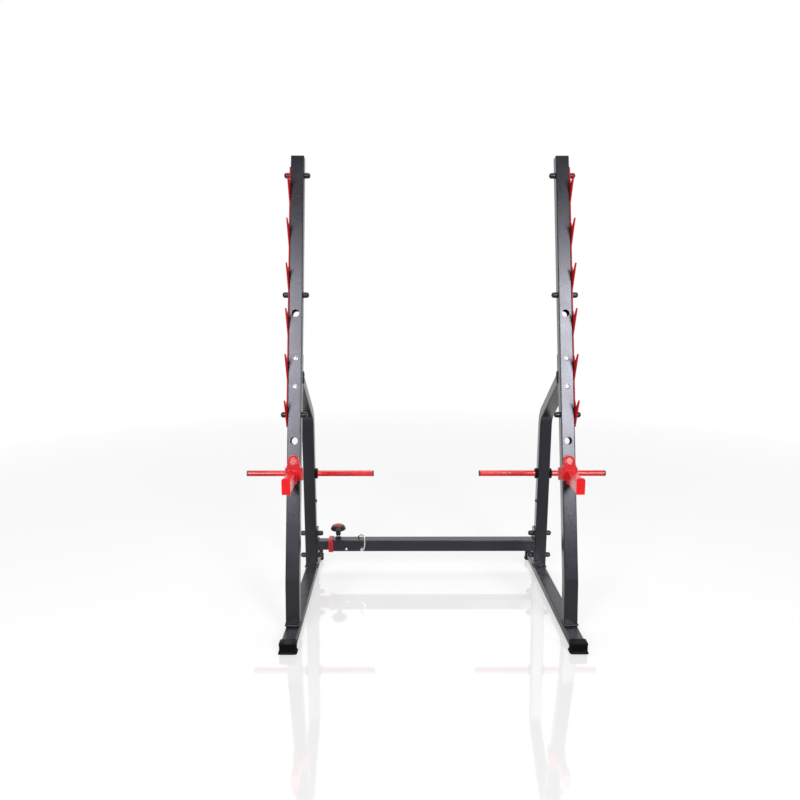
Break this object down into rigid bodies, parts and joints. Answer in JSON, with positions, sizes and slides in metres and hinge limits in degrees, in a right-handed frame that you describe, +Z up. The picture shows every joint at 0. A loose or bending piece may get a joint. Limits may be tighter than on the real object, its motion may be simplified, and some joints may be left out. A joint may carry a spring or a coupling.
{
  "type": "squat rack",
  "caption": "Width-adjustable squat rack: side frames with leaning uprights, saw-tooth bar hooks, spotter arms and plate storage pins, joined by a telescoping crossbar with a clamp knob.",
  "frame": {"origin": "floor level under the middle of the footprint, with the rack at its narrowest setting", "axes": "+Z up, +Y from the front uprights to the rear struts, +X towards the frame that carries the fixed crossbar sleeve"},
  "size_m": [1.5346, 0.86, 1.7326],
  "materials": {
    "frame_paint": "satin graphite powder coat",
    "red_paint": "gloss red powder coat",
    "black_plastic": "fine-grained moulded plastic",
    "red_plastic": "smooth moulded plastic",
    "rubber": "matt moulded rubber",
    "zinc": "bright zinc plate",
    "chrome": "polished chrome plate"
  },
  "bodies": {
    "right_frame": {"right_base_tube": "frame_paint", "right_front_boot": "rubber", "right_rear_boot": "rubber", "right_upright": "frame_paint", "right_upright_top_cap": "black_plastic", "right_rear_strut": "frame_paint", "right_strut_flange": "frame_paint", "right_strut_bolts": "zinc", "right_strut_hole_plug": "black_plastic", "right_hook_plate": "red_paint", "right_cross_bolts": "zinc", "right_frame_nuts": "zinc", "right_bolt_caps": "black_plastic", "right_crossbar_flange": "frame_paint", "right_storage_pin": "red_paint", "right_storage_pin_caps": "black_plastic", "right_stop_rings": "rubber", "crossbar_sleeve": "frame_paint", "crossbar_collar": "red_plastic", "liner_screw": "zinc", "clamp_boss": "frame_paint"},
    "left_frame": {"left_base_tube": "frame_paint", "left_front_boot": "rubber", "left_rear_boot": "rubber", "left_upright": "frame_paint", "left_upright_top_cap": "black_plastic", "left_rear_strut": "frame_paint", "left_strut_flange": "frame_paint", "left_strut_bolts": "zinc", "left_strut_hole_plug": "black_plastic", "left_hook_plate": "red_paint", "left_cross_bolts": "zinc", "left_frame_nuts": "zinc", "left_bolt_caps": "black_plastic", "left_crossbar_flange": "frame_paint", "left_storage_pin": "red_paint", "left_storage_pin_caps": "black_plastic", "left_stop_rings": "rubber", "crossbar_inner_tube": "frame_paint"},
    "right_spotter": {"right_spotter_saddle": "red_paint", "right_spotter_pin": "red_paint", "right_spotter_arm": "red_paint", "right_spotter_end_plate": "red_paint"},
    "left_spotter": {"left_spotter_saddle": "red_paint", "left_spotter_pin": "red_paint", "left_spotter_arm": "red_paint", "left_spotter_end_plate": "red_paint"},
    "hitch_pin": {"hitch_pin": "chrome"},
    "hitch_bail": {"pin_bail": "chrome"},
    "clamp_pad": {"clamp_pad": "zinc"},
    "clamp_knob": {"clamp_stud": "zinc", "knob_head": "black_plastic", "knob_cap": "red_plastic"}
  },
  "joints": [
    {"name": "width_slide", "type": "slide", "parent": "right_frame", "child": "left_frame", "axis": [-1, 0, 0], "range_m": [0, 0.176]},
    {"name": "right_spotter_slide", "type": "slide", "parent": "right_frame", "child": "right_spotter", "axis": [0, -0.9706, 0.2407], "range_m": [0, 0.07]},
    {"name": "left_spotter_slide", "type": "slide", "parent": "left_frame", "child": "left_spotter", "axis": [0, -0.9706, 0.2407], "range_m": [0, 0.07]},
    {"name": "hitch_pin_slide", "type": "slide", "parent": "right_frame", "child": "hitch_pin", "axis": [0, -1, 0], "range_m": [0, 0.07]},
    {"name": "bail_swing", "type": "hinge", "parent": "hitch_pin", "child": "hitch_bail", "pos_m": [-0.278, 0.21526, 0.1215], "axis": [1, 0, 0], "range_deg": [0, 100]},
    {"name": "screw_travel", "type": "slide", "parent": "right_frame", "child": "clamp_pad", "axis": [0, 0, 1], "range_m": [0, 0.0053]},
    {"name": "knob_turn", "type": "hinge", "parent": "clamp_pad", "child": "clamp_knob", "pos_m": [-0.382, 0.24556, 0.16], "axis": [0, 0, 1], "range_deg": [0, 1260]}
  ],
  "couplings": [
    {"joint": "screw_travel", "follows": "knob_turn", "m_per_rad": 0.00023873}
  ]
}
